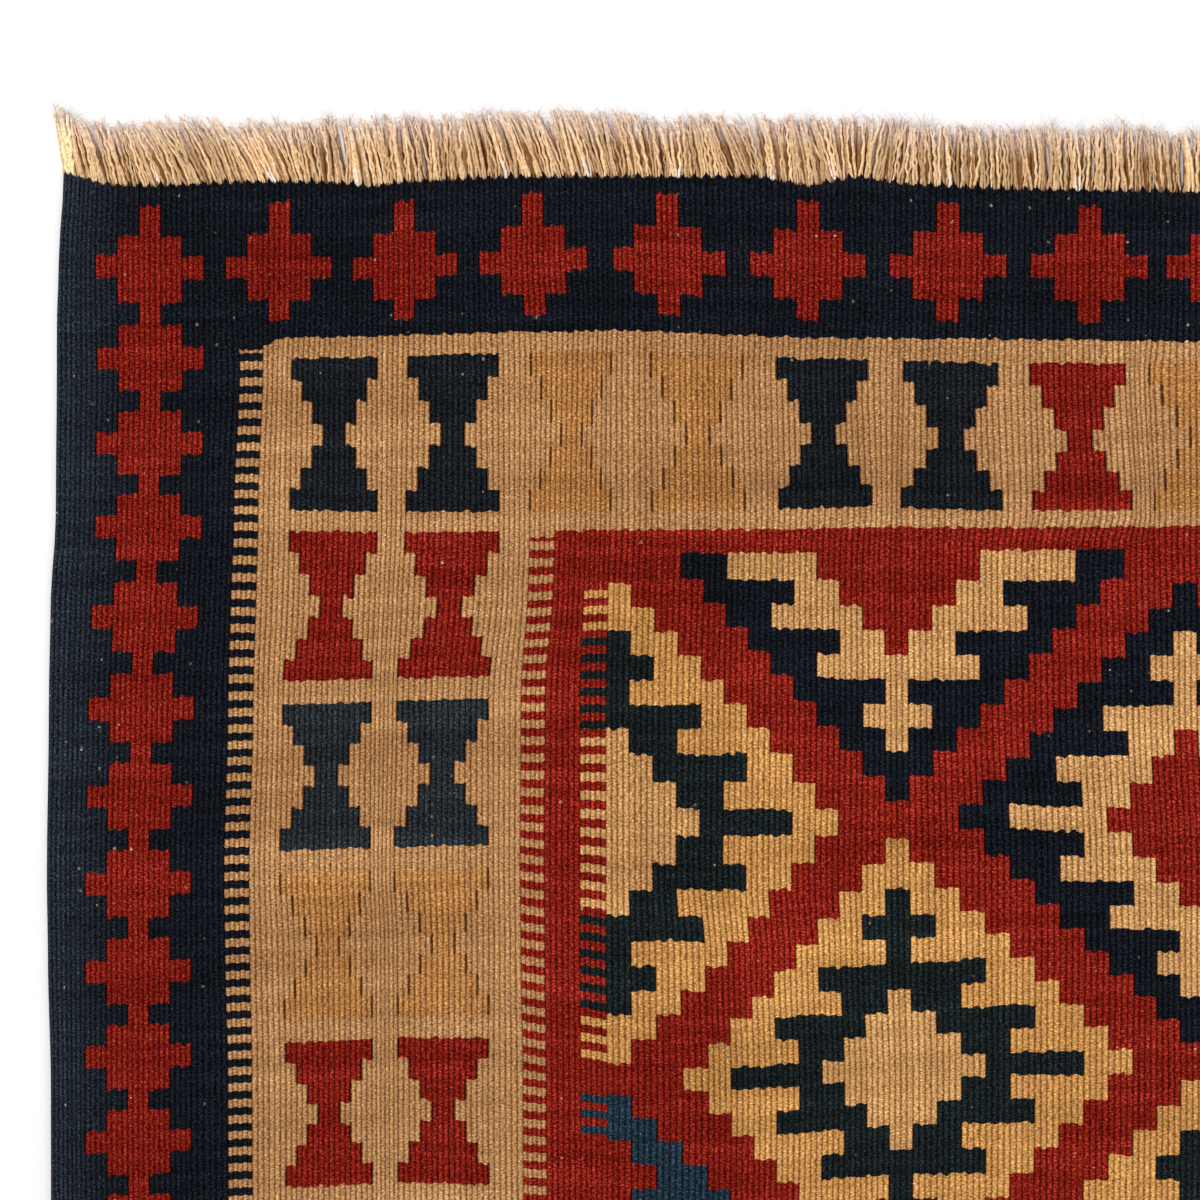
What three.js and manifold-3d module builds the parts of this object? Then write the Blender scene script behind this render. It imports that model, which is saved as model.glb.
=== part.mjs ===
// A flat-woven wool kilim, 1 m by 1.5 m, with a short fringe of warp ends at both ends.
// Millimetres, +Z up, lying on z = 0. +Y is the far end, -X the left selvedge.
// The far left corner is the measured one. The rest follows from its repeats.
import * as THREE from "three";
import Module from "manifold-3d";

const wasm = await Module();
wasm.setup();
const { Manifold, Mesh } = wasm;

const HALF_W = 501; // selvedge to the middle, at its widest
const HALF_L = 745; // woven end to the middle, on average
const HALF_ALL = 771.25; // longest warp end to the middle
const THICK = 3;

// Straight lines through a table of [place, value] rows.
function along(table, t) {
  if (t <= table[0][0]) return table[0][1];
  for (let i = 1; i < table.length; i++) {
    const [a, va] = table[i - 1],
      [b, vb] = table[i];
    if (t <= b) return va + ((vb - va) * (t - a)) / (b - a);
  }
  return table[table.length - 1][1];
}

// Repeatable numbers from 0 to 1.
function chance(n) {
  const s = Math.sin(n * 127.1 + 11.7) * 43758.5453;
  return s - Math.floor(s);
}

const wave = (t, a, b, c) =>
  0.5 * Math.sin(t / 31 + a) +
  0.7 * Math.sin(t / 73 + b) +
  0.9 * Math.sin(t / 149 + c);

// How far the selvedge lies inside the widest place, by distance from the end.
const SELVEDGE = [
  [-4, 6],
  [24, 4.2],
  [58, 3.5],
  [110, 2.2],
  [181, 0.7],
  [226, 0],
  [268, 0.1],
  [314, 1.4],
  [380, 1.1],
];
const MID = 380;
function inset(side, y) {
  const fromEnd = HALF_L - Math.abs(y);
  const scale = side < 0 ? (y > 0 ? 1 : 0.8) : y > 0 ? 0.9 : 0.65;
  const measured = along(SELVEDGE, fromEnd) * scale;
  const loose = Math.min(1, Math.max(0, (fromEnd - 200) / (MID - 200)));
  const own = side < 0 && y > 0 ? 0 : 0.3;
  return (
    measured +
    (own + 0.6 * loose) * (1.2 + wave(y, side * 2.1, side, 1.3 + side))
  );
}

// How far the woven end stands out from its average, by distance from the left selvedge.
const FAR_END = [
  [0, 2.5],
  [12, 3.4],
  [19, -1],
  [124, -1.1],
  [166, 2.8],
  [208, 2.8],
  [257, 1],
  [264, -0.7],
  [281, 1.4],
  [299, -0.7],
  [334, -2.4],
  [404, -2.8],
  [450, -1.6],
];
function stand(end, x) {
  const d = x + HALF_W;
  if (end > 0 && d < 450) return along(FAR_END, d);
  const own = 1.2 * wave(d, 0.4 * end, 2.2, end);
  if (end < 0) return own;
  // The measured stretch runs out smoothly into the rest.
  return own - (1.6 + 1.2 * wave(450, 0.4, 2.2, 1)) * Math.exp((450 - d) / 90);
}

// The outline, anticlockwise from the near left corner.
const ACROSS = 120,
  UP = 124;
const edgeX = (side, y) => side * (HALF_W - inset(side, y) + widest[side]);
const widest = { "-1": 0, 1: 0 };
for (const side of [-1, 1]) {
  let least = Infinity;
  for (let i = 0; i <= UP; i++)
    least = Math.min(least, inset(side, -HALF_L + (2 * HALF_L * i) / UP));
  widest[side] = least;
}
const endX = (end, i) => {
  const l = edgeX(-1, end * HALF_L),
    r = edgeX(1, end * HALF_L);
  return l + ((r - l) * i) / ACROSS;
};
const endY = (end, i) => end * (HALF_L + stand(end, endX(end, i)));

const outline = [];
for (let i = 0; i < ACROSS; i++) outline.push([endX(-1, i), endY(-1, i)]);
for (let i = 0; i < UP; i++) {
  const a = endY(-1, ACROSS),
    b = endY(1, ACROSS),
    y = a + ((b - a) * i) / UP;
  outline.push([i ? edgeX(1, -HALF_L + (2 * HALF_L * i) / UP) : endX(-1, ACROSS), y]);
}
for (let i = ACROSS; i > 0; i--) outline.push([endX(1, i), endY(1, i)]);
for (let i = UP; i > 0; i--) {
  const a = endY(-1, 0),
    b = endY(1, 0),
    y = a + ((b - a) * i) / UP;
  outline.push([i < UP ? edgeX(-1, -HALF_L + (2 * HALF_L * i) / UP) : endX(1, 0), y]);
}

// The cloth: one slab whose rim is softly rounded.
function clothGeometry() {
  const n = outline.length,
    rings = [
      [0, 0.9],
      [0.8, 0],
      [2.2, 0],
      [THICK, 0.9],
    ],
    points = [],
    faces = [];
  for (const [z, inside] of rings)
    for (let i = 0; i < n; i++) {
      const [x, y] = outline[i],
        [ax, ay] = outline[(i + n - 1) % n],
        [bx, by] = outline[(i + 1) % n],
        l = Math.hypot(bx - ax, by - ay);
      points.push(x - (inside * (by - ay)) / l, y + (inside * (bx - ax)) / l, z);
    }
  for (let k = 0; k + 1 < rings.length; k++)
    for (let i = 0; i < n; i++) {
      const a = k * n + i,
        b = k * n + ((i + 1) % n);
      faces.push(a, b, b + n, a, b + n, a + n);
    }
  const cap = Array.from(
    { length: n },
    (_, i) => new THREE.Vector2(points[3 * i], points[3 * i + 1]),
  );
  const top = (rings.length - 1) * n;
  for (const [a, b, c] of THREE.ShapeUtils.triangulateShape(cap, [])) {
    faces.push(top + a, top + b, top + c, c, b, a);
  }
  const g = new THREE.BufferGeometry();
  g.setAttribute("position", new THREE.Float32BufferAttribute(points, 3));
  g.setIndex(faces);
  g.computeVertexNormals();
  return g;
}

// A closed body swept through sections of equally many corners, each anticlockwise seen from its start.
function swept(sections) {
  const m = sections[0].length,
    points = sections.flat(2),
    faces = [];
  for (let k = 0; k + 1 < sections.length; k++)
    for (let i = 0; i < m; i++) {
      const a = k * m + i,
        b = k * m + ((i + 1) % m);
      faces.push(a, b, b + m, a, b + m, a + m);
    }
  const last = (sections.length - 1) * m;
  for (let i = 1; i + 1 < m; i++) {
    faces.push(0, i + 1, i);
    faces.push(last, last + i, last + i + 1);
  }
  let made = new Manifold(
    new Mesh({
      numProp: 3,
      vertProperties: new Float32Array(points),
      triVerts: new Uint32Array(faces),
    }),
  );
  if (made.volume() < 0) {
    for (let i = 0; i < faces.length; i += 3)
      [faces[i + 1], faces[i + 2]] = [faces[i + 2], faces[i + 1]];
    made = new Manifold(
      new Mesh({
        numProp: 3,
        vertProperties: new Float32Array(points),
        triVerts: new Uint32Array(faces),
      }),
    );
  }
  return made;
}

// Where the warp ends' tips lie beyond the average woven end, and how they lean, by distance from the left selvedge.
const TIPS = [
  [3, 26.2],
  [8, 25],
  [12, 21.7],
  [36, 19.6],
  [54, 21.4],
  [75, 20.7],
  [89, 23.1],
  [124, 23.8],
  [142, 20],
  [160, 23.8],
  [208, 24.9],
  [222, 21.7],
  [235, 23.1],
  [250, 21],
  [264, 24.5],
  [281, 22.1],
  [317, 20],
  [341, 18.9],
  [369, 18.6],
  [404, 17.2],
  [440, 20],
];
const LEANS = [
  [0, 0.1],
  [8, 0.25],
  [20, 0.5],
  [70, 0.5],
  [95, 0.34],
  [140, 0.24],
  [230, 0.2],
  [280, 0],
  [330, 0.06],
  [400, 0.03],
  [450, 0.1],
];
const LOCKS = 150,
  GAP = 0.3,
  STRIP = 2,
  STRIP_TALL = 1.5;

function fringeGeometry(end) {
  const strip = [];
  for (let i = 0; i <= ACROSS; i++) {
    const x = endX(end, i) + (i === 0 ? 0.6 : i === ACROSS ? -0.6 : 0),
      y = endY(end, i),
      near = y + end * GAP,
      far = y + end * (GAP + STRIP);
    strip.push([
      [x, near, 0],
      [x, far, 0],
      [x, far, STRIP_TALL],
      [x, near, STRIP_TALL],
    ]);
  }
  const bodies = [swept(strip)];
  const l = endX(end, 0) + 2.4,
    r = endX(end, ACROSS) - 2.4;
  const lengths = [];
  for (let i = 0; i < LOCKS; i++) {
    const x = l + ((r - l) * i) / (LOCKS - 1),
      d = x + HALF_W,
      at = ((x - endX(end, 0)) / (endX(end, ACROSS) - endX(end, 0))) * ACROSS,
      k = Math.min(ACROSS - 1, Math.floor(at)),
      y = endY(end, k) + (endY(end, k + 1) - endY(end, k)) * (at - k);
    const measured = end > 0 && d < 440;
    const tip = measured
      ? along(TIPS, d)
      : 21 + 1.6 * wave(x, end, 0.7, end * 1.7);
    const lean = measured
      ? along(LEANS, d)
      : 0.1 + 0.14 * wave(x, 1.1, end, 2 * end);
    lengths.push([x, y, HALF_L + tip - Math.abs(y) + 1.6 * (chance(i + 7 * end) - 0.5), lean]);
  }
  const longest = Math.max(...lengths.map(([, y, long]) => Math.abs(y) + long));
  for (const [i, [x, y, long, lean]] of lengths.entries()) {
    const reach = long + HALF_ALL - longest,
      turn = -lean + 0.05 * (chance(3 * i + end) - 0.5);
    bodies.push(
      swept(
        [
          [0, 1.7, 1.3],
          [0.3, 2.4, 2.2],
          [0.68, 2.2, 2],
          [1, 1.1, 0.9],
        ].map(([t, half, tall]) => {
          const cx = x + Math.tan(turn) * reach * Math.pow(t, 1.15),
            cy = y + end * Math.max(GAP + 1.1, reach * t);
          return [
            [cx - half * end, cy, 0],
            [cx + half * end, cy, 0],
            [cx, cy, tall],
          ];
        }),
      ),
    );
  }
  const made = Manifold.union(bodies).getMesh(),
    g = new THREE.BufferGeometry();
  g.setAttribute(
    "position",
    new THREE.BufferAttribute(new Float32Array(made.vertProperties), 3),
  );
  g.setIndex(new THREE.BufferAttribute(new Uint32Array(made.triVerts), 1));
  g.computeVertexNormals();
  return g;
}

const wool = new THREE.MeshStandardMaterial({ color: 0x7c2a22, roughness: 0.95 }),
  warp = new THREE.MeshStandardMaterial({ color: 0xc49a6c, roughness: 0.9 });

const kilim = new THREE.Group();
kilim.name = "kilim";
for (const [name, geometry, material] of [
  ["kilim_ground", clothGeometry(), wool],
  ["fringe_far", fringeGeometry(1), warp],
  ["fringe_near", fringeGeometry(-1), warp],
]) {
  const mesh = new THREE.Mesh(geometry, material);
  mesh.name = name;
  kilim.add(mesh);
}

export default kilim;
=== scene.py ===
import bmesh
import bpy
import numpy as np
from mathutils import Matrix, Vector


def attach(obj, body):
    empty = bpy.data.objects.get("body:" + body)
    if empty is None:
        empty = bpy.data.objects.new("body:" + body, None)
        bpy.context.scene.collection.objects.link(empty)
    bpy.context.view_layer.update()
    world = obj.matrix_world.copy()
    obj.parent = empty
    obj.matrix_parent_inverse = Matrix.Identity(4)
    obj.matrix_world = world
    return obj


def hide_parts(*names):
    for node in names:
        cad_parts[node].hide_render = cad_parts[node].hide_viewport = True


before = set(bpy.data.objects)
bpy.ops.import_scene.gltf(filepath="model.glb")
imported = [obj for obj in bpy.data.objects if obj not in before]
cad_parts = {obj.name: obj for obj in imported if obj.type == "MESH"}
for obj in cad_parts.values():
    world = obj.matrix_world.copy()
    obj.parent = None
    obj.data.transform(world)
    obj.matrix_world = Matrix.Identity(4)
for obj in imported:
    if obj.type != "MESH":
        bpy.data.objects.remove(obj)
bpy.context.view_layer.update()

# Woven ground
# The cloth is one length of weft-faced wool tapestry, woven on 502 wool warps from selvedge to selvedge.
# Every colour turns back round a warp, so all upright edges are slits and all level edges show small teeth.
WARPS = 502
STEP = 0.00035  # the chart's own small unit of length, in metres
LONG = 4254  # woven length in those steps
HALF_WIDE, HALF_LONG = 0.501, 0.745  # metres, as the solid has them
RIBS, ROWS = 3, 165  # columns of mesh to a warp, and rows of mesh down the cloth
FIELDS_WIDE, FIELDS_LONG = 3, 4
END_TOOTH = 0.0027  # how far the last wefts stand out between two pairs of warp ends, in metres
THICKEST = 0.005  # metres, above any height of the cloth
RIM_LINES = 4  # mesh lines that round each edge down to the floor
RIM_CHART = 300  # warps of the chart to a metre of inset, so that the rim has a chart of its own
BAKE_MARGIN = 0.01

# Where the warps run: steps down the cloth, then how far each numbered warp lies from the left, in steps
WARP_NUMBERS = (
    0, 8, 28, 34, 39, 45, 61, 67, 83, 89, 94, 100, 105, 107, 121, 139, 150, 155, 156, 172, 177, 193, 199,
    203, 251
)
WARP_RUN = (
    (0, (
        17, 51, 157, 190, 217, 250, 332, 363, 449, 481, 508, 541, 566, 575, 654.8, 762.6, 826.1, 855, 860.9,
        955.6, 985.2, 1079.8, 1115.3, 1139, 1431.4
    )),
    (80, (
        12, 49, 158, 190, 217, 250, 332, 363, 449, 481, 508, 541, 567, 576, 656.3, 762.6, 826.1, 855, 860.9,
        955.2, 984.7, 1079, 1114.4, 1138, 1431.4
    )),
    (140, (
        10, 50, 158, 191, 217, 249, 332, 363, 450, 483.5, 512, 543.5, 567, 577, 657.8, 761.6, 825.1, 854,
        859.9, 954.6, 984.2, 1078.8, 1114.3, 1138, 1431.4
    )),
    (175, (
        10, 51, 158, 194, 217, 246, 331, 362, 452, 485, 511, 542, 565, 576, 656.8, 758.8, 821.2, 853, 857.7,
        951.6, 984.2, 1079.1, 1108.2, 1138, 1431.4
    )),
    (330, (
        9, 49, 156, 188, 212, 244, 331, 360, 453, 484, 509, 540, 564.5, 576.5, 658.8, 761.8, 825.9, 851,
        855.4, 956.4, 987.5, 1086.4, 1113.6, 1139, 1431.4
    )),
    (376, (
        7.4, 48.1, 155.1, 187.1, 211.4, 243.4, 330.4, 358.7, 452.7, 483.4, 508.4, 539.4, 563.4, 575.9,
        659.2, 759.5, 822.4, 849.5, 855.5, 951.2, 981.1, 1077.3, 1113.4, 1137.6, 1431.4
    )),
    (400, (
        4, 46, 153, 185, 210, 242, 329, 356, 452, 482, 507, 538, 562, 573.5, 657.9, 759.4, 822.4, 849.5,
        855.5, 951.7, 981.7, 1078.4, 1114.6, 1139, 1431.4
    )),
    (520, (
        2, 42, 148, 182, 207, 237, 325, 351, 442, 475, 499, 534, 560, 571, 655, 759.3, 823, 850.5, 856.5,
        952.4, 983.3, 1081.1, 1116.2, 1139, 1431.4
    )),
    (690, (
        0, 39, 145, 178, 203, 234, 324, 348, 442, 474, 498, 534, 560, 571.5, 653.6, 757.2, 821.2, 851.5,
        857.5, 958.2, 989.9, 1087.6, 1122.3, 1146, 1431.4
    )),
    (760, (
        1, 39, 145, 179, 203.8, 237.3, 326.3, 351.3, 443, 474.8, 498.5, 534, 560, 572.5, 659.4, 761.2,
        822.6, 852.4, 858.4, 958.3, 989.6, 1089, 1122.4, 1145.3, 1431.4
    )),
    (900, (
        4, 39, 145, 182, 206, 240, 326, 352, 442, 477, 500, 535, 561.5, 573, 662.7, 765.3, 826.5, 855,
        861.1, 958.4, 988.8, 1087.2, 1122.7, 1147, 1431.4
    )),
    (1300, (
        5, 44, 150, 184, 209, 240, 328, 354, 446, 479, 504, 536, 560, 571, 656.2, 760.4, 824.1, 853, 859,
        955.7, 985.9, 1082.6, 1118.8, 1143, 1431.4
    )),
    (2127, (
        3, 43, 150, 184, 209, 241, 328, 354, 446, 480, 505, 536, 560, 571, 656.2, 760.4, 824.1, 853, 859,
        955.4, 985.5, 1081.8, 1117.9, 1142, 1431.4
    )),
)
# How uneven the rows lie: steps down the cloth, then how far the row sags at each numbered warp, in steps
ROW_WARPS = (0, 10, 18, 37, 52, 60, 66, 86, 94, 100, 107, 119, 131, 139, 148, 155, 171, 187, 203, 251)
ROW_FALL = (
    (0, (-13, 0, 1.5, -3, -2.5, 1.8, -3, -8, -8, -8, -8, -8, -8, 1, -8.5, -1, 4, 5.5, 7, 4)),
    (16, (-9, 3, 3, 3, 3, 3, 0.5, -8, -8, -8, -8, -6.5, -5, 1, -5, 0, 4, 5.5, 7, 4)),
    (80, (-3, -3, -2, -1.1, -0.4, 0, -1.4, -6, -6.4, -12.2, -9.5, -5.5, -4, -3, -3, -3, -3, -2.5, -2, -1)),
    (154, (3, 3, 3, 1.2, -0.2, -1, -1.9, -5, -5.8, -6.3, -7, -4, -1, 1, 1, 1, 2, 3, 4, 3)),
    (178, (3, 3, 3, 1.2, -0.2, -1, -1.7, -4, -4.8, -5.3, -6, -3.5, -1, 1, 1, 3, 7, 6.5, 6, 4)),
    (250, (1, 1, 1, 0.5, 0.2, 0, 0, 0, 0, 0, 0, 0, 0, -1, -1, 2, 6, 6.5, 2, -1)),
    (328, (-3, -3, -3, -1.6, -0.6, 0, 0, 0, 0, 0, 0, -1.5, -3, -4, -7, -5, 0, 0, 0, -2)),
    (347, (-4, -4, -4, -2.2, -0.8, 0, 0, 0, 0, 0, 0, 0, 0, -1, -2, -3, -4, -5, -6, -5)),
    (420, (-1, -1, -1, 1, 2, 3, 3, 2, -0.3, -2, -4, -2.5, -1.5, 0, 0, 0.5, 1, 0, -5, -1)),
    (470, (2.5, 2.5, 2.5, 2, 1.5, 1.5, 1, -1.5, -3.2, -4.5, -6, -5, -3, -0.5, 0.5, 1, 1.5, -3, -6, -2.5)),
    (520, (6, 6, 6, 3.5, 1, 0, -1, -5, -4.6, -4.3, -4, -5.5, -6.5, -1.5, 1, 1.5, 2, -2.5, -4.5, -3)),
    (570, (6, 6, 6, 3, 0.5, -1, -1.5, -4, -4.2, -4.3, -4.5, -4, -5.5, -3, -0.5, -0.5, -1, -2, -3.5, -2.5)),
    (605, (6, 6, 6, 2.5, -0.5, -1.5, -2, -3.5, -2.7, -2.2, -1.5, 0.5, 0, 1, 1, 0, -3, 0.5, 1.5, 3.5)),
    (640, (6, 6, 6, 2.5, -0.5, -2, -2, -3, 0.2, 2.7, 5.5, 4.5, 4, 5, 2, 0.5, -3, 1, 3, 4)),
    (680, (6.5, 6.5, 6.5, 3, 0, -1.5, -2, -5.5, 0.2, 4.5, 9.5, 8.5, 10, 8.5, 4, 1, 0, 1.5, 3.5, 4.5)),
    (720, (7.5, 7.5, 7.5, 3.5, 0.5, -1, -2.5, -4.5, 1.8, 6.5, 12, 12, 13.5, 10, 5.5, 4, 0, 1, 2, 3)),
    (760, (8, 8, 8, 4, 0.5, -1, -2.5, -4, 2.3, 7, 12.5, 13.5, 13.5, 9.5, 6, 3.5, -2, -1, 1, 2)),
    (800, (7.5, 7.5, 7.5, 3, 0, -2, -3.5, -4, 2.9, 8, 14, 13.5, 13, 8.5, 7, 6, -2.5, -4, -4, -2.5)),
    (840, (6.5, 6.5, 6.5, 2, -2, -4, -5.5, -5, 2.4, 8, 14.5, 12, 9, 6, 6, 6, -3, -6, -6.5, -5)),
    (880, (6, 6, 6, 1, -3, -5, -6.5, -6, 1.6, 7.3, 14, 11.5, 9, 4.5, 1.5, -0.5, -5, -7, -8, -6)),
    (920, (5, 5, 5, 0.5, -3.5, -5.5, -7, -6, -1.8, 1.3, 5, 7.5, 6.5, 3, -2, -4.5, -7, -6.5, -6.5, -4.5)),
    (960, (4, 4, 4, -1, -4.5, -6.5, -8, -5.5, -2.3, 0.2, 3, 4.5, 5.5, 2, -3, -5.5, -7.5, -6.5, -5.5, -3.5)),
    (1000, (3, 3, 3, -1.5, -5, -7, -8, -5.5, -2.3, 0.2, 3, 3.5, 5, 2, -2, -4, -6, -5, -5, -3)),
    (1500, (0,) * 20),
    (2127, (0,) * 20),
)


def surveyed(numbers, rows, u, v):
    """The value between the numbered warps and the rows of a table, for arrays u and v."""
    at = np.array([row[0] for row in rows], float)
    k = np.clip(np.searchsorted(at, v, side="right") - 1, 0, len(at) - 2)
    t = np.clip((v - at[k]) / (at[k + 1] - at[k]), 0, 1)
    t = t * t * (3 - 2 * t)
    lines = np.array([np.interp(u, numbers, row[1]) for row in rows])
    cells = np.arange(u.size)
    return lines[k, cells] * (1 - t) + lines[k + 1, cells] * t


def laid(u, v):
    """Where warp u and step v lie on the floor, in metres.

    The right and near halves are woven from the same tables, turned round and a little changed.
    """
    u, v = np.asarray(u, float), np.asarray(v, float)
    right, near = u > WARPS / 2, v > LONG / 2
    fu, fv = np.where(right, WARPS - u, u), np.where(near, LONG - v, v)
    gv = np.where(right, LONG / 2 - np.abs(fv - LONG / 2) * 0.93, fv)
    x = surveyed(WARP_NUMBERS, WARP_RUN, fu, np.where(near, gv * 0.9, gv)) * STEP
    fall = surveyed(ROW_WARPS, ROW_FALL, fu, fv) * STEP
    fall = fall * np.where(right & ~near, 0.8, np.where(near & ~right, -0.7, np.where(near, 0.6, 1)))
    loose = 0.0006 * np.sin(v / 171 + u / 37) + 0.0004 * np.sin(v / 67 - u / 23 + 2)
    loose = loose * np.clip((v - 1100) / 500, 0, 1)
    x = np.where(right, HALF_WIDE - x, x - HALF_WIDE) + loose
    return x, HALF_LONG - v * STEP * (2 * HALF_LONG / (LONG * STEP)) - fall


def rim(count, first, last):
    """The mesh lines of one way of the cloth, rounded down to the floor at both edges: places, insets and heights."""
    places = np.linspace(first, last, count)
    low = [(first, 0.0010, 0.0), (first, 0.0003, 0.0004), (first, 0.0, 0.0011), (first, 0.00015, 0.0018)]
    high = [(last, inset, height) for _, inset, height in reversed(low)]
    middle = [(p, 0.0, 1.0) for p in places[1:-1]]
    return np.array(low + middle + high)


across, down = rim(WARPS * RIBS + 1, 0, WARPS), rim(ROWS, 0, LONG)
across[4:7, 2], across[-7:-4, 2] = (0.9, 0.97, 1), (1, 0.97, 0.9)  # the selvedge slopes a little
seed = np.random.default_rng(7)
swell = 1 + 0.16 * seed.standard_normal(WARPS + 2)  # no two warps are spun alike


def height(u, v):
    """The cloth's upper face in metres, with a round rib over each warp and a valley between two."""
    k = np.minimum(np.floor(u + 1e-6).astype(int), WARPS - 1)
    part = u - k
    valley = np.minimum(part, 1 - part) < 0.1
    worn = 0.5 + 0.5 * np.sin(v / 61 + 1.7 * np.sin(u / 9) + k)
    low = 0.0023 + 0.00012 * np.sin(u / 19 + v / 130) + 0.00008 * np.sin(v / 47 - u / 31)
    return low + np.where(valley, 0, (0.00042 + 0.00010 * worn) * swell[k])


def ground(name, columns, rows, face):
    """One field of the cloth: a grid whose lines are the given warps and rows, laid out and given both its maps."""
    bm = bmesh.new()
    bmesh.ops.create_grid(bm, x_segments=len(columns) - 1, y_segments=len(rows) - 1, size=1)
    mesh = bpy.data.meshes.new(name)
    bm.to_mesh(mesh)
    bm.free()
    co = np.empty(len(mesh.vertices) * 3)
    mesh.vertices.foreach_get("co", co)
    co = co.reshape(-1, 3)
    i = np.round((co[:, 0] + 1) / 2 * (len(columns) - 1)).astype(int)
    j = np.round((1 - co[:, 1]) / 2 * (len(rows) - 1)).astype(int)
    u, v = columns[i, 0], rows[j, 0]
    x, y = laid(u, v)
    x += columns[i, 1] * np.where(u < WARPS / 2, 1, -1)
    y -= rows[j, 1] * np.where(v < LONG / 2, 1, -1)
    z = np.zeros(len(u))
    if face == "upper":
        tooth = END_TOOTH * (np.abs(u % 2 - 1) ** 1.4 - 0.4)
        y += np.where(v == 0, tooth, np.where(v == LONG, -tooth, 0))
        z = height(u, v)
        for line in (columns[i, 2], rows[j, 2]):
            z = np.where(line < THICKEST, np.minimum(z, line), z * line)  # a height at the rim, else a share
    co = np.stack([x, y, z], 1)
    mesh.vertices.foreach_set("co", co.ravel())
    corner = np.empty(len(mesh.loops), int)
    mesh.loops.foreach_get("vertex_index", corner)
    side = np.where(u < WARPS / 2, 1, -1) * columns[i, 1] * RIM_CHART
    chart = mesh.uv_layers.new(name="weave")
    chart.data.foreach_set("uv", np.stack([u + side, v], 1)[corner].ravel())
    wide, tall, share = np.ptp(x), np.ptp(y), 1 - 2 * BAKE_MARGIN
    flat = mesh.uv_layers.new(name="OFBake")
    flat_x = BAKE_MARGIN + share * (x - x.min()) / wide
    flat_y = BAKE_MARGIN + share * (y - y.min()) / tall
    flat.data.foreach_set("uv", np.stack([flat_x, flat_y], 1)[corner].ravel())
    mesh.uv_layers["weave"].active = True
    mesh.uv_layers["weave"].active_render = True
    if face == "under":
        mesh.flip_normals()
    mesh.shade_smooth()
    piece = bpy.data.objects.new(name, mesh)
    bpy.context.collection.objects.link(piece)
    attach(piece, "root")
    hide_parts("kilim_ground")
    return piece


# The fields share their border lines, which lie between two warps
cut_u = [0, *(RIM_LINES + warp * RIBS - 1 for warp in (168, 335)), len(across) - 1]
cut_v = [0, 44, 85, 126, len(down) - 1]
cloth = []
for a in range(FIELDS_WIDE):
    for b in range(FIELDS_LONG):
        cloth.append(
            ground(
                f"kilim_field_{a + 1}_{b + 1}",
                across[cut_u[a] : cut_u[a + 1] + 1],
                down[cut_v[b] : cut_v[b + 1] + 1],
                "upper",
            )
        )
flat_across = np.vstack([across[0], across[12:-12:12], across[-1]])
flat_down = np.vstack([down[0], down[4:-4], down[-1]])
cloth.append(ground("kilim_underside", flat_across, flat_down, "under"))


def dyed(red, green, blue):
    """A colour as a dyer's card shows it, made linear."""
    return tuple(((c / 255 + 0.055) / 1.055) ** 2.4 if c > 10 else c / 255 / 12.92 for c in (red, green, blue)) + (1,)


NAVY, INK, GREEN_NAVY = dyed(23, 26, 33), dyed(29, 32, 36), dyed(29, 36, 37)
WORN_NAVY = dyed(41, 48, 57)
BLUE, STEEL = dyed(42, 47, 52), dyed(40, 58, 72)
MADDER, CROSS = dyed(140, 35, 24), dyed(132, 32, 22)
BEIGE, GOLD, OLD_GOLD = dyed(188, 139, 91), dyed(185, 129, 74), dyed(187, 131, 76)
HONEY, CREAM = dyed(211, 154, 88), dyed(211, 159, 101)

wool = bpy.data.materials.new("weft_faced_wool")
wool.use_nodes = True
tree = wool.node_tree
tree.nodes.clear()


def node(kind, *values, **settings):
    """A shader node with its inputs set or linked in order, by their first output."""
    made = tree.nodes.new(kind)
    for key, value in settings.items():
        setattr(made, key, value)
    for i, value in enumerate(values):
        if isinstance(value, bpy.types.NodeSocket):
            tree.links.new(value, made.inputs[i])
        elif value is not None:
            made.inputs[i].default_value = value
    return made.outputs[0]


def reckon(kind, a, b=0.0, c=0.0):
    return node("ShaderNodeMath", a, b, c, operation=kind)


def less(a, b):
    return reckon("LESS_THAN", a, b)


def both(a, b):
    return reckon("MULTIPLY", a, b)


def either(a, b):
    return reckon("MAXIMUM", a, b)


def off(a, b):
    """The distance between a and b."""
    return reckon("ABSOLUTE", reckon("SUBTRACT", a, b))


def repeat(a, centre, every):
    """The distance of a from the nearest of the places that repeat from centre."""
    return off(reckon("FLOORED_MODULO", reckon("ADD", a, every / 2 - centre), every), every / 2)


def turn(a, centre, every):
    """Which repeat that is, counted from 0."""
    return reckon("FLOOR", reckon("DIVIDE", reckon("ADD", a, every / 2 - centre), every))


def pick(mask, a, b):
    """b where mask is 1, otherwise a, for numbers."""
    return reckon("MULTIPLY_ADD", mask, reckon("SUBTRACT", b, a), a)


def over(mask, under, colour):
    """colour where mask is 1, otherwise what lies under it."""
    made = tree.nodes.new("ShaderNodeMix")
    made.data_type, made.clamp_factor = "RGBA", True
    for i, value in ((0, mask), (6, under), (7, colour)):
        if isinstance(value, bpy.types.NodeSocket):
            tree.links.new(value, made.inputs[i])
        else:
            made.inputs[i].default_value = value
    return made.outputs[2]


def table(place, rows):
    """A stepped table: each row holds from its place on. Places run from 0 to 1."""
    made = tree.nodes.new("ShaderNodeValToRGB")
    tree.links.new(place, made.inputs[0])
    ramp = made.color_ramp
    ramp.interpolation = "CONSTANT"
    while len(ramp.elements) < len(rows):
        ramp.elements.new(1.0)
    for element, (at, value) in zip(ramp.elements, rows):
        element.position = at
        element.color = value if hasattr(value, "__len__") else (value, value, value, 1)
    return made.outputs[0]


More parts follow.
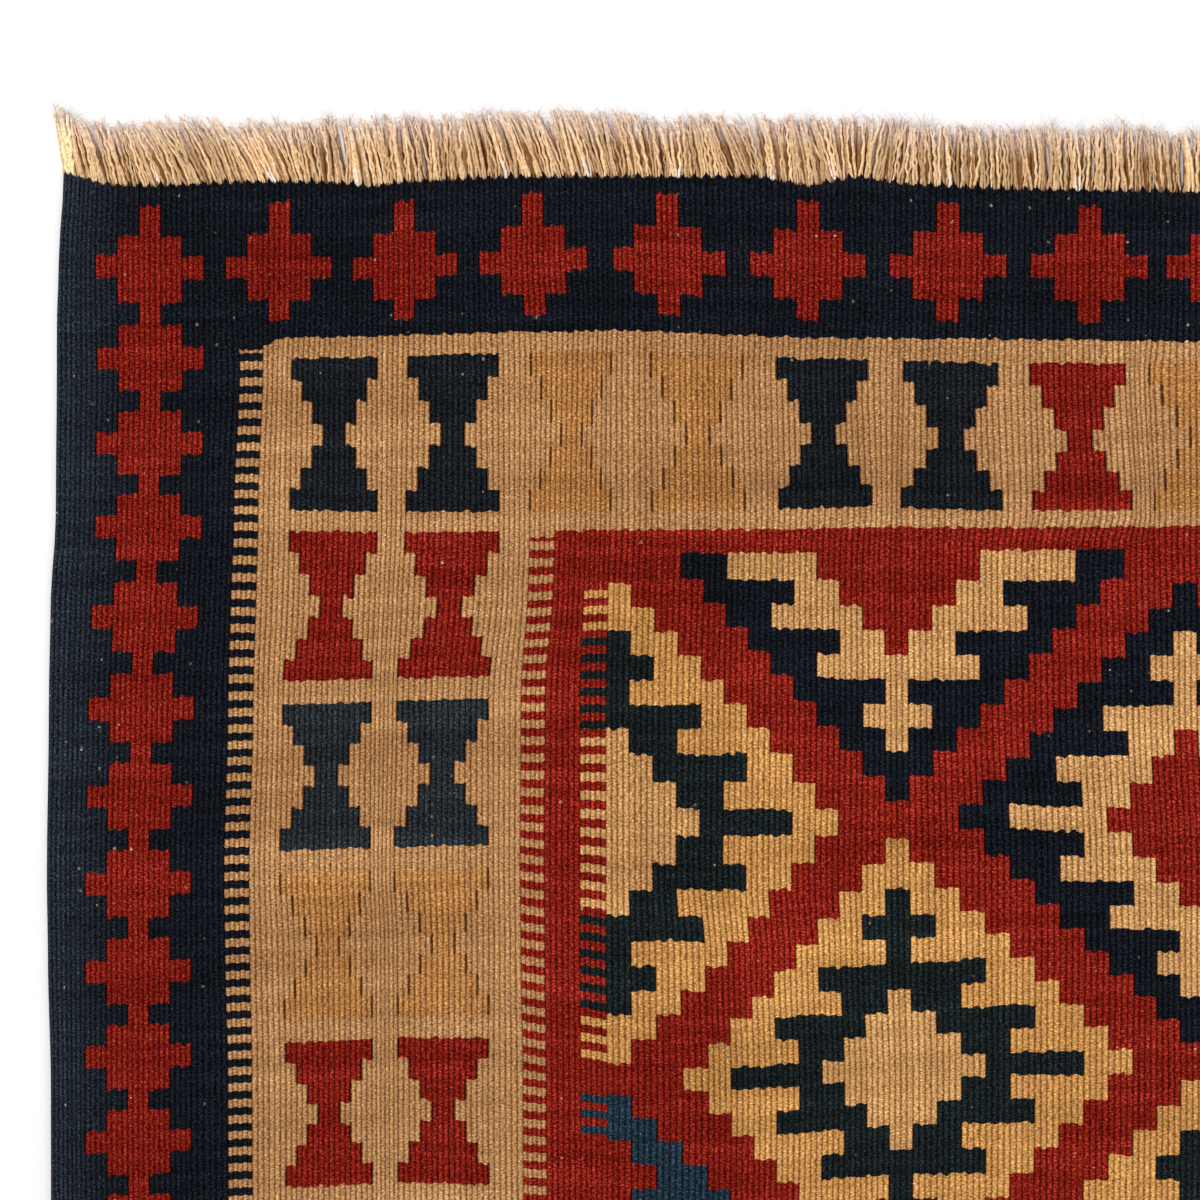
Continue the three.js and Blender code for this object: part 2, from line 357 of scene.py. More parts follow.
def noise(x, y, scale=5.0, detail=2.0, roughness=0.5):
    """Smooth noise over a place x, y of the chart."""
    spot = node("ShaderNodeCombineXYZ", x, y)
    return node("ShaderNodeTexNoise", spot, None, scale, detail, roughness, noise_dimensions="2D")


def finished(colour, channels, relief_height, relief_depth, roughness, gloss):
    """The last nodes of a material: colour times lightness by channel, a fine relief and a dull surface."""
    shaded = tree.nodes.new("ShaderNodeMix")
    shaded.data_type, shaded.blend_type = "RGBA", "MULTIPLY"
    shaded.inputs[0].default_value = 1
    tree.links.new(colour, shaded.inputs[6])
    tree.links.new(node("ShaderNodeCombineColor", *channels), shaded.inputs[7])
    relief = tree.nodes.new("ShaderNodeBump")
    relief.inputs["Strength"].default_value = 0.5
    relief.inputs["Distance"].default_value = relief_depth
    tree.links.new(relief_height, relief.inputs["Height"])
    surface = tree.nodes.new("ShaderNodeBsdfPrincipled")
    surface.inputs["Roughness"].default_value = roughness
    surface.inputs["Specular IOR Level"].default_value = gloss
    tree.links.new(shaded.outputs[2], surface.inputs["Base Color"])
    tree.links.new(relief.outputs[0], surface.inputs["Normal"])
    tree.links.new(surface.outputs[0], tree.nodes.new("ShaderNodeOutputMaterial").inputs[0])


place = tree.nodes.new("ShaderNodeUVMap")
place.uv_map = "weave"
split = tree.nodes.new("ShaderNodeSeparateXYZ")
tree.links.new(place.outputs[0], split.inputs[0])
u, straight = split.outputs[0], split.outputs[1]
warp = reckon("FLOOR", u)
odd = reckon("FLOORED_MODULO", warp, 2)
part = reckon("SUBTRACT", u, warp)
own = node("ShaderNodeTexWhiteNoise", None, warp, noise_dimensions="1D")
wander = noise(reckon("MULTIPLY", warp, 0.21), reckon("MULTIPLY", straight, 0.03))
sway = noise(reckon("MULTIPLY", u, 0.11), reckon("MULTIPLY", straight, 0.02))

# Teeth: a colour's first pick stands up in a small point over every second warp
TOOTH, OWN_STEP, WANDER_STEPS, SWAY_STEPS, POLE_TOOTH = 1.7, 0.7, 2.4, 6.0, 1.2
point = reckon("ABSOLUTE", reckon("SUBTRACT", reckon("FLOORED_MODULO", reckon("ADD", u, 0.5), 2), 1))
v = straight
for unevenness, steps in ((point, TOOTH), (own, OWN_STEP), (wander, WANDER_STEPS), (sway, SWAY_STEPS)):
    v = reckon("MULTIPLY_ADD", reckon("SUBTRACT", unevenness, 0.5), steps, v)
level = reckon("MULTIPLY_ADD", reckon("SUBTRACT", point, 0.5), POLE_TOOTH, straight)
pole_end = reckon("MINIMUM", level, reckon("SUBTRACT", LONG, level))
side = reckon("MINIMUM", u, reckon("SUBTRACT", WARPS, u))
end = reckon("MINIMUM", v, reckon("SUBTRACT", LONG, v))

SLIT, GLASS_SLIT = 0.12, 0.26  # half the width of an open slit, in warps
CHART = 512  # the charts across the cloth are tables over this many warps


def nearest(centres):
    """The stops of a table that gives the nearest of some centres across the cloth."""
    return [(0, centres[0] / CHART)] + [((a + b) / 2 / CHART, b / CHART) for a, b in zip(centres, centres[1:])]


# Barber poles: their first warp and step, the step that their bands are counted from, and the height of two bands
NAVY_POLE, RED_POLE, FIELD_POLE = (34, 165, 160.5, 16.4), (89, 354, 350, 16.6), (100, 409, 409, 16.6)


def framed(first_warp, first_step, pole):
    """Where a frame shows: inside its first warp and step, and in every second band of the barber pole round it."""
    pole_warp, pole_step, band_step, band = pole
    bands = less(reckon("FRACT", reckon("DIVIDE", reckon("SUBTRACT", pole_end, band_step), band)), 0.5)
    whole = both(less(first_warp, side), less(first_step, end))
    return either(whole, both(both(less(pole_warp, side), less(pole_step, end)), bands))


# Crosses of the outer border: half-widths in warps, down the end border and down the side border
END_CROSSES = [18, 42, 66, 90, 115, 139, 163, 187, 210, 235, 260, 285, 310, 334, 359, 384, 409, 434, 459, 484]
CROSS_TIERS = ((0, 0), (18, 2), (50, 6), (74, 10), (96, 6), (117, 2), (137, 0))
SIDE_CROSS, FIRST_CROSS, CROSS_EVERY = 18, 86, 86.85  # the side border's middle warp, first cross and repeat
CROSS_BODY, CROSS_ARMS = 33, 11  # half the height of a side cross's body and of its arms, in steps
CROSS_START = 21  # step where the stem of the first side cross starts
BORDER, WORN_EDGE = 30, 16  # warps of the side border, and of the faded stripe along the selvedge
cross_u = off(u, reckon("MULTIPLY", table(reckon("DIVIDE", u, CHART), nearest(END_CROSSES)), CHART))
cross_half = table(reckon("DIVIDE", end, 256), [(at / 256, half / 16) for at, half in CROSS_TIERS])
cross_half = reckon("MULTIPLY", cross_half, 16)
end_cross = less(cross_u, cross_half)
side_u = off(side, SIDE_CROSS)
side_v = pick(less(end, FIRST_CROSS), repeat(end, FIRST_CROSS, CROSS_EVERY), off(end, FIRST_CROSS))
side_half = reckon("MULTIPLY_ADD", less(side_v, CROSS_BODY), 4, 2)
side_half = reckon("ADD", side_half, reckon("MULTIPLY", less(side_v, CROSS_ARMS), 4))
side_cross = both(less(side_u, side_half), less(CROSS_START, end))
in_side = less(side, BORDER)
crosses = pick(in_side, end_cross, side_cross)
slit = pick(in_side, less(off(cross_u, cross_half), SLIT), less(off(side_u, side_half), SLIT))
edge = reckon("MAXIMUM", reckon("SUBTRACT", 1, reckon("DIVIDE", side, WORN_EDGE)), 0)
colour = over(crosses, over(edge, NAVY, WORN_NAVY), CROSS)

# Beige frame, joined to the navy border by a barber pole
BEIGE_WARP, BEIGE_STEP = 39, 154
CUT_WARP, CUT_STEPS = 42.5, 2.6  # its outer corner is cut off from this warp, by so many steps a warp
corner = reckon("MAXIMUM", reckon("SUBTRACT", CUT_WARP, side), 0)
corner = reckon("MULTIPLY_ADD", corner, CUT_STEPS, BEIGE_STEP)
beige = framed(BEIGE_WARP, corner, NAVY_POLE)
colour = over(beige, colour, BEIGE)
slit = both(slit, reckon("SUBTRACT", 1, beige))

# Hourglasses on the beige: 16, 12, 8, 4 warps wide and back again
END_GLASSES = [53, 75, 97, 120, 142, 164, 185, 206, 229, 251, 273, 295, 317, 339, 361, 383, 405, 427, 449]
GLASS_COLOURS = [INK, INK, GOLD, GOLD, INK, INK, CROSS, GOLD, BLUE]
GLASS_COLOURS += [INK, GOLD, CROSS, INK, INK, GOLD, GOLD, CROSS, INK, INK]
ROW_COLOURS = [INK, CROSS, BLUE] + [OLD_GOLD, CROSS, BLUE] * 3
SIDE_GLASSES = (53, 75)
FIRST_GLASS, GLASS_EVERY = 251.5, 170.5  # the waist of the first row and the repeat, in steps
GLASS_TIER, GLASS_HIGH = 22, 77  # height of a step of the outline and half the height of the whole
GLASS_WARP, GLASS_END = 86, 340  # where the columns and the end rows of hourglasses stop
GLASS_START = 160  # no hourglass starts above this step
stops = nearest(END_GLASSES)
shades = [(at, shade) for (at, _), shade in zip(stops, GLASS_COLOURS)]
in_column, in_row = less(side, GLASS_WARP), less(end, GLASS_END)
glass_u = pick(
    both(in_column, less(GLASS_END, end)),
    off(u, reckon("MULTIPLY", table(reckon("DIVIDE", u, CHART), stops), CHART)),
    reckon("MINIMUM", *(off(side, centre) for centre in SIDE_GLASSES)),
)
glass_row = turn(end, FIRST_GLASS, GLASS_EVERY)
glass_v = both(repeat(end, FIRST_GLASS, GLASS_EVERY), pick(in_row, 22 / 21, 1.0))
glass_half = reckon("FLOOR", reckon("DIVIDE", reckon("ADD", glass_v, GLASS_TIER / 2), GLASS_TIER))
glass_half = reckon("MULTIPLY_ADD", glass_half, 2, 2)
on_frame = both(both(less(BEIGE_WARP, side), either(in_column, in_row)), less(GLASS_START, end))
on_frame = both(less(glass_v, GLASS_HIGH), on_frame)
glasses = both(less(glass_u, glass_half), on_frame)
row_stops = [(max(0, (k - 0.5) / 16), shade) for k, shade in enumerate(ROW_COLOURS)]
row_colour = table(reckon("DIVIDE", glass_row, 16), row_stops)
colour = over(glasses, colour, over(in_row, row_colour, table(reckon("DIVIDE", u, CHART), shades)))
slit = either(slit, both(less(off(glass_u, glass_half), GLASS_SLIT), on_frame))

# Red frame with its own barber pole
RED_WARP, RED_STEP = 94, 347
red = framed(RED_WARP, RED_STEP, RED_POLE)
colour = over(red, colour, MADDER)
slit = both(slit, reckon("SUBTRACT", 1, red))

# Stepped diamonds of the field, each 76 warps wide, in two sets that stand between each other
FIELD_WARP, FIELD_STEP = 105, 370
HELD_WARP, HELD_STEP = 105.5, 376
DIAMOND_WIDE, DIAMOND_LONG = 96, 500  # repeat of each set, in warps and steps
FIRST_SET, SECOND_SET = (155, 385.5), (107, 635.5)  # warp and step of a middle of each
TIER, HALF_TIER = 24.35, 12.2  # height of a step of the outline
OUTER_HALF, OUTER_LESS = 38, -4  # half the width at the middle, and what each tier takes off
MIDDLE_HALF = (30, 18, 22, 10, 14, 2, 6, 2, 0, 0, 0)
CENTRE_HALF = (14, 10, 6, 2, 0, 0, 0, 0, 0, 0, 0)


def tiers(distance):
    """How many tiers above or below a diamond's middle row."""
    return reckon("FLOOR", reckon("DIVIDE", reckon("ADD", distance, HALF_TIER), TIER))


# In the barber poles and past the ends the field goes on as it is at its own edge
held = reckon("MAXIMUM", reckon("MINIMUM", u, WARPS - HELD_WARP), HELD_WARP)
rows = reckon("MAXIMUM", reckon("MINIMUM", v, LONG - HELD_STEP), HELD_STEP)
(u_1, v_1), (u_2, v_2) = (
    (repeat(held, at_warp, DIAMOND_WIDE), repeat(rows, at_step, DIAMOND_LONG))
    for at_warp, at_step in (FIRST_SET, SECOND_SET)
)
way_1, way_2 = (
    reckon("SUBTRACT", turn(rows, at_step, DIAMOND_LONG), turn(held, at_warp, DIAMOND_WIDE))
    for at_warp, at_step in (FIRST_SET, SECOND_SET)
)
first = less(u_1, reckon("MULTIPLY_ADD", tiers(v_1), OUTER_LESS, OUTER_HALF))
dia_u, tier = pick(first, u_2, u_1), tiers(pick(first, v_2, v_1))
outer = reckon("MULTIPLY_ADD", tier, OUTER_LESS, OUTER_HALF)
chart = table(
    reckon("DIVIDE", tier, 16),
    [(max(0, (k - 0.5) / 16), (m / 32, c / 32, 0, 1)) for k, (m, c) in enumerate(zip(MIDDLE_HALF, CENTRE_HALF))],
)
halves = tree.nodes.new("ShaderNodeSeparateColor")
tree.links.new(chart, halves.inputs[0])
middle = reckon("MULTIPLY", halves.outputs[0], 32)
centre = reckon("MULTIPLY", halves.outputs[1], 32)
# The colours change along the diagonals, in turns of three
way = pick(first, reckon("ADD", way_2, 1), way_1)
way = reckon("DIVIDE", reckon("FLOORED_MODULO", way, 3), 4)
inside = less(dia_u, outer)
field = MADDER
for shape, shades in (
    (inside, (NAVY, HONEY, STEEL)),
    (both(inside, less(dia_u, middle)), (CREAM, GREEN_NAVY, MADDER)),
    (both(inside, less(dia_u, centre)), (MADDER, CREAM, HONEY)),
):
    field = over(shape, field, table(way, list(zip((0, 0.125, 0.375), shades))))
in_field = both(less(FIELD_WARP, side), less(FIELD_STEP, end))
colour = over(framed(FIELD_WARP, FIELD_STEP, FIELD_POLE), colour, field)
edges = [less(off(dia_u, half), SLIT) for half in (outer, middle, centre)]
edges = both(either(edges[0], either(edges[1], edges[2])), less(0.5, dia_u))
slit = pick(in_field, slit, edges)

# Wool: each warp's rib is lighter on its crown and darker in its valleys by painted shade, with slanting beads of
# weft (partly painted highlight and shade) and streaks of uneven dye
slant = both(reckon("SUBTRACT", part, 0.5), reckon("MULTIPLY_ADD", odd, 2.4, -1.2))
bead_row = reckon("MULTIPLY_ADD", reckon("ADD", straight, slant), 0.6, reckon("MULTIPLY", own, 37))
beads = noise(reckon("MULTIPLY", u, 1.9), bead_row, 1.0, 2.0, 0.6)
streaks = noise(reckon("MULTIPLY", u, 0.035), reckon("MULTIPLY", straight, 0.09), 1.0, 3.0, 0.6)
abrash = noise(reckon("MULTIPLY", u, 0.012), reckon("MULTIPLY", straight, 0.022), 1.0, 2.0, 0.5)
loose = noise(reckon("MULTIPLY", warp, 3.7), reckon("MULTIPLY", straight, 0.11))
# Painted shade in the valleys between the ribs, which wander a little from warp to warp
valley_painted_shade = off(reckon("MULTIPLY_ADD", reckon("SUBTRACT", loose, 0.5), 0.55, part), 0.5)
valley_painted_shade = reckon("MAXIMUM", reckon("MULTIPLY_ADD", valley_painted_shade, 4, -1), 0)
valley_painted_shade = both(valley_painted_shade, reckon("MULTIPLY_ADD", loose, 1.1, 0.45))
# Dark wool shows its loose hairs and its shadows more than pale wool does, so its beads get stronger painted
# highlight and painted shade, along with speckled wool
dye = tree.nodes.new("ShaderNodeSeparateColor")
tree.links.new(colour, dye.inputs[0])
pale = reckon("MINIMUM", reckon("MULTIPLY", dye.outputs[1], 4), 1)
warm = reckon("MINIMUM", reckon("MULTIPLY", dye.outputs[0], 4), 1)
lightness = both(reckon("SUBTRACT", beads, 0.5), pick(pale, 5.4, 3.2))
for uneven, strength in ((streaks, pick(pale, 1.1, 0.5)), (own, 0.2)):
    lightness = reckon("MULTIPLY_ADD", reckon("SUBTRACT", uneven, 0.5), strength, lightness)
lightness = reckon("SUBTRACT", lightness, both(valley_painted_shade, pick(pale, 1.4, 1.15)))
lightness = reckon("MULTIPLY_ADD", reckon("SUBTRACT", abrash, 0.5), 0.7, lightness)
lightness = reckon("SUBTRACT", lightness, both(in_field, both(less(side, 128), 0.12)))
# Painted shade in the open slits, deeper in some places than others; the slits also sink in the relief
lightness = reckon("SUBTRACT", lightness, both(slit, reckon("MULTIPLY_ADD", wander, 2.0, 0.2)))
# Warm dyes keep their red in the shadows and lose their yellow, so each channel has its own depth
redder = reckon("SUBTRACT", warm, pale)
depths = (
    pick(warm, 1.0, 0.84),
    reckon("MULTIPLY_ADD", redder, 0.2, 1.0),
    reckon("MULTIPLY_ADD", redder, 0.3, pick(warm, 1.0, 1.08)),
)
# Pale lint and broken hairs caught on the ribs
LINT = dyed(206, 176, 140)
lint = tree.nodes.new("ShaderNodeTexVoronoi")
lint.voronoi_dimensions = "2D"
lint.inputs["Scale"].default_value = 1.0
lint_place = node("ShaderNodeCombineXYZ", reckon("MULTIPLY", u, 0.3), reckon("MULTIPLY", straight, 0.05))
tree.links.new(lint_place, lint.inputs[0])
chance = tree.nodes.new("ShaderNodeSeparateColor")
tree.links.new(lint.outputs["Color"], chance.inputs[0])
near_fleck = less(lint.outputs["Distance"], reckon("MULTIPLY", chance.outputs[1], 0.09))
fleck = both(near_fleck, less(chance.outputs[0], 0.12))
colour = over(both(fleck, 0.35), colour, LINT)
finished(
    colour,
    [reckon("EXPONENT", both(lightness, depth)) for depth in depths],
    reckon("SUBTRACT", beads, reckon("MULTIPLY", slit, 1.5)),
    relief_depth=0.0006,
    roughness=0.95,
    gloss=0.02,
)
for piece in cloth:
    piece.data.materials.append(wool)

# Fringes
# The warps' own ends, left free past the last weft and cut short: undyed tan wool, loosely twisted and crimped.
# Each pair of warps gives thick yarns that lie on the floor, tinted dark as painted shade in the gaps between the
# yarns above, wavy yarns over them, and fine hairs at the tips.
# Distance from the left selvedge in steps, how far the ends reach past the cloth in steps, and their lean to the left
ENDS = (
    (0, 68, 0.03), (14, 72, 0.06), (22, 66, 0.12), (34, 62, 0.2), (54, 62, 0.3), (104, 60, 0.38), (154, 62, 0.44),
    (179, 63, 0.48), (214, 56, 0.48), (239, 60, 0.4), (260, 62, 0.22), (304, 64, 0.16), (354, 64, 0.15),
    (404, 62, 0.14), (444, 62, 0.2), (484, 64, 0.36), (514, 64, 0.34), (554, 64, 0.24), (594, 62, 0.2),
    (634, 55, 0.14), (664, 60, 0.16), (690, 58, 0.34), (714, 58, 0.44), (722, 62, 0.12), (754, 66, 0.12),
    (784, 64, 0.24), (804, 62, 0.14), (826, 60, -0.16), (854, 60, -0.14), (880, 60, 0.0), (904, 60, 0.02),
    (974, 60, 0.04), (1014, 62, 0.03), (1054, 61, 0.0), (1084, 64, 0.04), (1154, 57, 0.06), (1240, 60, 0.1),
)
LAID_END = np.array(ENDS, float)
PALE_ENDS = np.array((112, 229, 312, 459, 509, 544, 632, 726, 789, 905, 1032))  # undyed white yarns among the tan
CREAM_CORNER, CREAM_SHARE = 30, 0.75  # steps from the selvedge where most ends are cream, and how many
PAIRS = WARPS // 2
TUFT, HAIRS = 4, 3  # yarns of each layer to a pair of warps, and hairs to a yarn
PLAIN_REACH, PLAIN_LEAN = 60.0, 0.1  # of the end that isn't in sight
LEAST_REACH, MOST_REACH = 0.012, 0.0262  # metres
WHITE_TINT, CREAM_TINT = 1.3, 1.7  # tints above 1 stand for white at the root and for cream all along
HAIR_ALONG = 1.3  # hairs are marked by a place beyond the tip
HAIR_THICK, HAIR_HIGH = 0.00010, 0.0003  # radius and least height of a hair, in metres
# Layers from below: whether it is the bed, rings and sides of a tube, share of the reach, and radius in metres
LAYERS = ((True, 5, 4, 0.88, 0.00080), (False, 12, 5, 1.0, 0.00052))


def tubes(path, radius, sides):
    """Points and faces of many thin closed tubes: paths are tube by ring by xyz, radii tube by ring."""
    count, rings = path.shape[:2]
    ahead = np.gradient(path, axis=1)
    ahead /= np.linalg.norm(ahead, axis=2, keepdims=True)
    level = np.cross(ahead, [0, 0, 1.0])
    level /= np.linalg.norm(level, axis=2, keepdims=True)
    rise = np.cross(level, ahead)
    angle = 2 * np.pi * np.arange(sides)[:, None] / sides
    circle = level[:, :, None] * np.cos(angle) + rise[:, :, None] * np.sin(angle)
    points = path[:, :, None] + radius[:, :, None, None] * circle
    first = np.arange(count)[:, None, None] * rings * sides
    k = first + np.arange(rings - 1)[:, None] * sides
    a = np.arange(sides)
    b = (a + 1) % sides
    quads = np.stack([k + a, k + b, k + sides + b, k + sides + a], 3).reshape(-1, 4)
    starts = (first[:, 0] + a[::-1]).tolist()
    caps = (first[:, 0] + (rings - 1) * sides + a).tolist()
    return points.reshape(-1, 3), quads.tolist() + starts + caps


def yarns(rng, far, start, bed, rings, share, thick):
    """One layer of an end's yarns: their paths, radii, rings from root to tip, tints and leans."""
    count = PAIRS * TUFT
    which = np.tile((np.arange(TUFT) + 0.5) / TUFT - 0.5, PAIRS)
    root_u = np.repeat(np.arange(PAIRS) * 2 + 1.0, TUFT) + which * (2 if bed else 1.7)
    x0, y0 = laid(root_u, np.full(count, 0.0 if far else float(LONG)))
    steps = (x0 + HALF_WIDE) / STEP
    if far:
        reach, lean = (np.interp(steps, LAID_END[:, 0], LAID_END[:, k]) for k in (1, 2))
        late = np.clip((steps - 1150) / 100, 0, 1)  # past the last surveyed end the guess takes over
    else:
        reach, lean, late = np.full(count, PLAIN_REACH), np.full(count, PLAIN_LEAN), np.ones(count)
    waves = np.sin(steps / 93 + start) + 0.6 * np.sin(steps / 41 + 2 * start)
    tufts = 1.6 * np.sin(steps / 6.3 + 2 * np.sin(steps / 29)) + 1.2 * np.sin(steps / 2.9 + 1)
    reach = (reach * share + 4 * late * waves + tufts + rng.normal(0, 2.6, count) - 2) * STEP
    reach = np.clip(reach, LEAST_REACH, MOST_REACH)
    lean = lean + 0.12 * late * np.sin(steps / 139 + 3 * start) + 0.03 * np.sin(steps / 17)
    lean = lean + rng.normal(0, 0.03 if bed else 0.065, count)
    t = np.linspace(0, 1, rings)[None, :] ** (1.0 if bed else 1.15)
    back = 0.0008 if bed else 0.0014  # how far the root lies under the cloth
    out = (reach[:, None] + back) * t - back
    shift = -np.tan(lean)[:, None] * np.clip(out, 0, None) * (0.7 + 0.3 * t)
    bow = rng.normal(0, 0.0007, count)[:, None] * np.sin(np.pi * t)
    crimp = rng.uniform(0.00010, 0.00045, count)[:, None] * (0 if bed else 1)
    wave = rng.uniform(0.0042, 0.0068, count)[:, None]
    crimp = crimp * np.sin(2 * np.pi * out / wave + rng.uniform(0, 6.3, count)[:, None]) * np.clip(t * 4, 0, 1)
    fan = which[:, None] * (0 if bed else 0.0006) * np.clip(t / 0.2, 0, 1)
    x = x0[:, None] + shift + bow + crimp + fan
    y = y0[:, None] + (out if far else -out)
    layer = rng.uniform(0, 1, count)[:, None]
    radius = thick * (1 + 0.2 * rng.standard_normal((count, 1))).clip(0.65, 1.4)
    if bed:
        radius = radius * (1 - 0.35 * t**4)
        z = radius + 0.0001 * layer
    else:
        radius = radius * np.clip(0.6 + 4 * t, 0, 1) * (1 - 0.3 * np.clip((t - 0.8) / 0.2, 0, 1) ** 2)
        low = 0.0012 + 0.0014 * layer
        z = 0.0011 + (low - 0.0011) * np.clip(t / 0.16, 0, 1) - 0.0004 * t**3
    # The bed yarns take the darkest tints: painted shade under and between the upper yarns
    tint = rng.uniform(0, 0.1, count) if bed else 0.35 + 0.65 * rng.uniform(0, 1, count)
    if far:
        cream = (steps < CREAM_CORNER) & (rng.uniform(0, 1, count) < CREAM_SHARE)
        white = np.abs(steps[:, None] - PALE_ENDS).min(1) < (1 if bed else 2.2)
        tint = np.where(cream, CREAM_TINT, np.where(white, WHITE_TINT, tint))
    return np.stack(np.broadcast_arrays(x, y, z), 2), radius, t[0], tint, lean


def hairs(rng, turned, tips, lean, tint):
    """Fine hairs at the tips of the yarns, with the tips of some pairs drawn together: paths, radii and tints."""
    pair = np.repeat(np.arange(PAIRS), TUFT)
    middles = np.array([tips[pair == k].mean(0) for k in range(PAIRS)])[pair]
    drawn = (rng.uniform(0, 1, PAIRS) < 0.4)[pair]
    ends = np.where(drawn[:, None], middles + (tips - middles) * 0.3, tips)
    at, lean, tint, drawn = (np.repeat(values, HAIRS, axis=0) for values in (ends, lean, tint, drawn))
    count = len(at)
    away = lean + rng.normal(0, 0.5, count) * np.where(drawn, 0.35, 1)
    span = rng.uniform(0.0022, 0.0052, count) * np.where(drawn, 1.5, 1)
    t = np.linspace(0, 1, 3)[None, :]
    away = away[:, None] + rng.normal(0, 0.6, count)[:, None] * t
    path = np.stack(
        [
            at[:, 0, None] - span[:, None] * t * np.sin(away),
            at[:, 1, None] + turned * span[:, None] * t * np.cos(away),
            at[:, 2, None] + rng.uniform(-0.0003, 0.0007, count)[:, None] * t,
        ],
        2,
    )
    path[:, :, 2] = np.maximum(path[:, :, 2], HAIR_HIGH)
    return path, HAIR_THICK * np.array([[1.0, 0.8, 0.3]]) * rng.uniform(0.6, 1.3, count)[:, None], tint


def fringe(name, node_name, far, start):
    """All the yarns of one end, as one mesh of thin tubes: a bed, the yarns over it and the hairs of the tips."""
    rng = np.random.default_rng(start)
    layers = []
    for bed, rings, sides, share, thick in LAYERS:
        path, radius, along, tint, lean = yarns(rng, far, start, bed, rings, share, thick)
        layers.append((path, radius, sides, along, tint))
    path, radius, tint = hairs(rng, 1 if far else -1, path[:, -2], lean, tint)
    layers.append((path, radius, 3, np.full(3, HAIR_ALONG), tint))
    points, faces, maps, count = [], [], [], 0
    for path, radius, sides, along, tint in layers:
        made, sheets = tubes(path, radius, sides)
        faces += [[k + count for k in f] for f in sheets]
        count += len(made)
        points.append(made)
        along = np.tile(np.repeat(along, sides), len(path))
        maps.append(np.stack([along, np.repeat(tint, len(made) // len(path))], 1))
    mesh = bpy.data.meshes.new(name)
    mesh.from_pydata(np.concatenate(points).tolist(), [], faces)
    corner = np.empty(len(mesh.loops), int)
    mesh.loops.foreach_get("vertex_index", corner)
    uv = mesh.uv_layers.new(name="yarn")
    uv.data.foreach_set("uv", np.concatenate(maps)[corner].ravel())
    bm = bmesh.new()
    bm.from_mesh(mesh)
    bmesh.ops.recalc_face_normals(bm, faces=bm.faces)
    bm.to_mesh(mesh)
    bm.free()
    mesh.shade_smooth()
    piece = bpy.data.objects.new(name, mesh)
    bpy.context.collection.objects.link(piece)
    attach(piece, "root")
    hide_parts(node_name)
    return piece


fringes = [fringe("warp_ends_far", "fringe_far", True, 3), fringe("warp_ends_near", "fringe_near", False, 8)]

# TAN is the darker yarn colour, and also the painted shade of the bed yarns
TAN, PALE_TAN, TIP = dyed(138, 92, 51), dyed(255, 215, 165), dyed(240, 216, 200)
WHITE_ROOT, CREAM_END, HAIR = dyed(252, 244, 236), dyed(255, 240, 190), dyed(214, 196, 190)
tan = bpy.data.materials.new("undyed_tan_yarn")
tan.use_nodes = True
tree = tan.node_tree
tree.nodes.clear()
place = tree.nodes.new("ShaderNodeUVMap")
place.uv_map = "yarn"
split = tree.nodes.new("ShaderNodeSeparateXYZ")
tree.links.new(place.outputs[0], split.inputs[0])
along, tint = split.outputs[0], split.outputs[1]
spot = tree.nodes.new("ShaderNodeTexCoord")
fibre = node("ShaderNodeTexNoise", spot.outputs["Object"], None, 900.0, 2.0, 0.6)
shade = over(tint, TAN, PALE_TAN)
pale_root = reckon("MAXIMUM", reckon("MULTIPLY_ADD", along, -2.2, 0.9), 0)
shade = over(both(less(1.1, tint), pale_root), shade, WHITE_ROOT)
shade = over(less(1.5, tint), shade, CREAM_END)
pale_tip = reckon("MULTIPLY", reckon("MAXIMUM", reckon("SUBTRACT", along, 0.55), 0), 1.7)
shade = over(pale_tip, shade, TIP)
shade = over(less(1.1, along), shade, HAIR)
grain = reckon("MULTIPLY_ADD", reckon("SUBTRACT", fibre, 0.5), 1.5, 0.98)
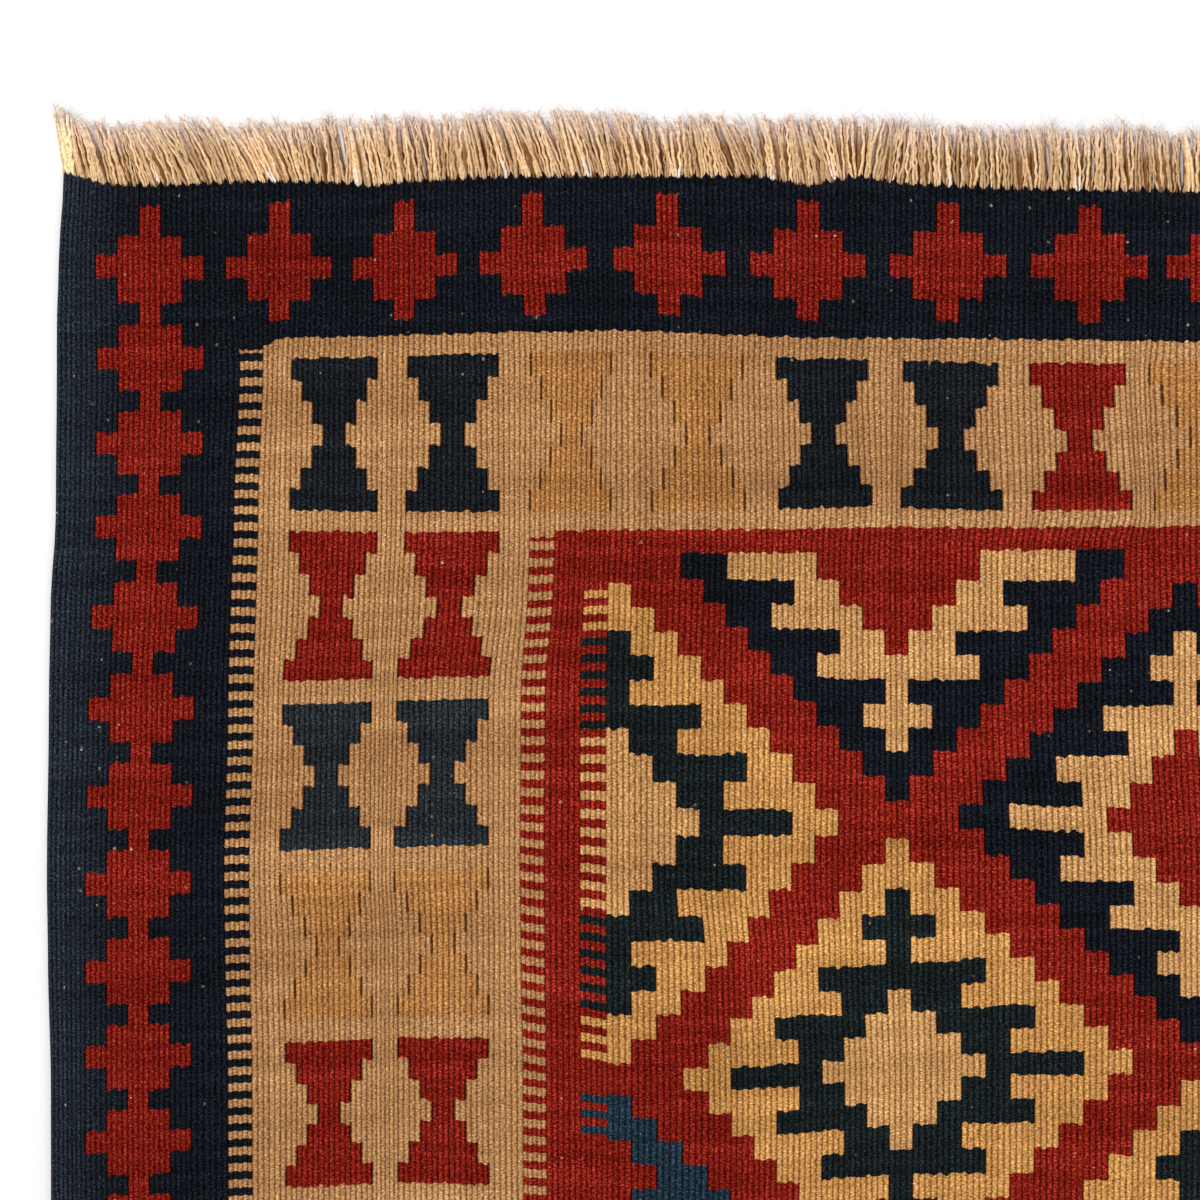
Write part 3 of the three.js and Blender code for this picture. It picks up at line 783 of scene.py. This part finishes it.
grains = [reckon("POWER", grain, 0.8), grain, reckon("POWER", grain, 1.25)]  # darker fibres are also browner
finished(shade, grains, fibre, relief_depth=0.0003, roughness=0.85, gloss=0.2)
for piece in fringes:
    piece.data.materials.append(tan)

# Floor, light and camera
# A plain white floor under soft white light, seen from straight above the far left corner of the kilim.
FLOOR_HALF = 8  # metres
LIT, WORLD_LIGHT = (-0.3, 0.6, 0), 0.75  # where the lamp points, and the strength of the light all round
LENS_MM, SENSOR_MM = 100, 36
SEEN, FACE = 0.42, 0.0028  # metres the picture spans, and the height of the cloth's face
bm = bmesh.new()
bmesh.ops.create_grid(bm, x_segments=1, y_segments=1, size=FLOOR_HALF)
mesh = bpy.data.meshes.new("floor")
bm.to_mesh(mesh)
bm.free()
floor = bpy.data.objects.new("floor", mesh)
bpy.context.collection.objects.link(floor)
floor_paint = bpy.data.materials.new("white_floor")
floor_paint.use_nodes = True
paint = floor_paint.node_tree.nodes["Principled BSDF"]
paint.inputs["Base Color"].default_value = (0.98, 0.98, 0.98, 1)
paint.inputs["Roughness"].default_value = 1.0
paint.inputs["Specular IOR Level"].default_value = 0.0
mesh.materials.append(floor_paint)

scene = bpy.context.scene
world = bpy.data.worlds.new("studio")
scene.world = world
world.use_nodes = True
world.node_tree.nodes["Background"].inputs[0].default_value = (1, 1, 1, 1)
world.node_tree.nodes["Background"].inputs[1].default_value = WORLD_LIGHT
softbox = bpy.data.lights.new("softbox", "AREA")
softbox.size, softbox.energy = 1.6, 38
lamp = bpy.data.objects.new("softbox", softbox)
lamp.location = (-1.7, 2.1, 1.9)
lamp.rotation_euler = (Vector(LIT) - lamp.location).to_track_quat("-Z", "Y").to_euler()
bpy.context.collection.objects.link(lamp)
lens = bpy.data.cameras.new("camera")
lens.lens, lens.sensor_width = LENS_MM, SENSOR_MM
camera = bpy.data.objects.new("camera", lens)
camera.location = (-0.3071, 0.59905, FACE + SEEN * LENS_MM / SENSOR_MM)
bpy.context.collection.objects.link(camera)
scene.camera = camera
scene.view_settings.view_transform = "Standard"
scene.view_settings.look = "None"
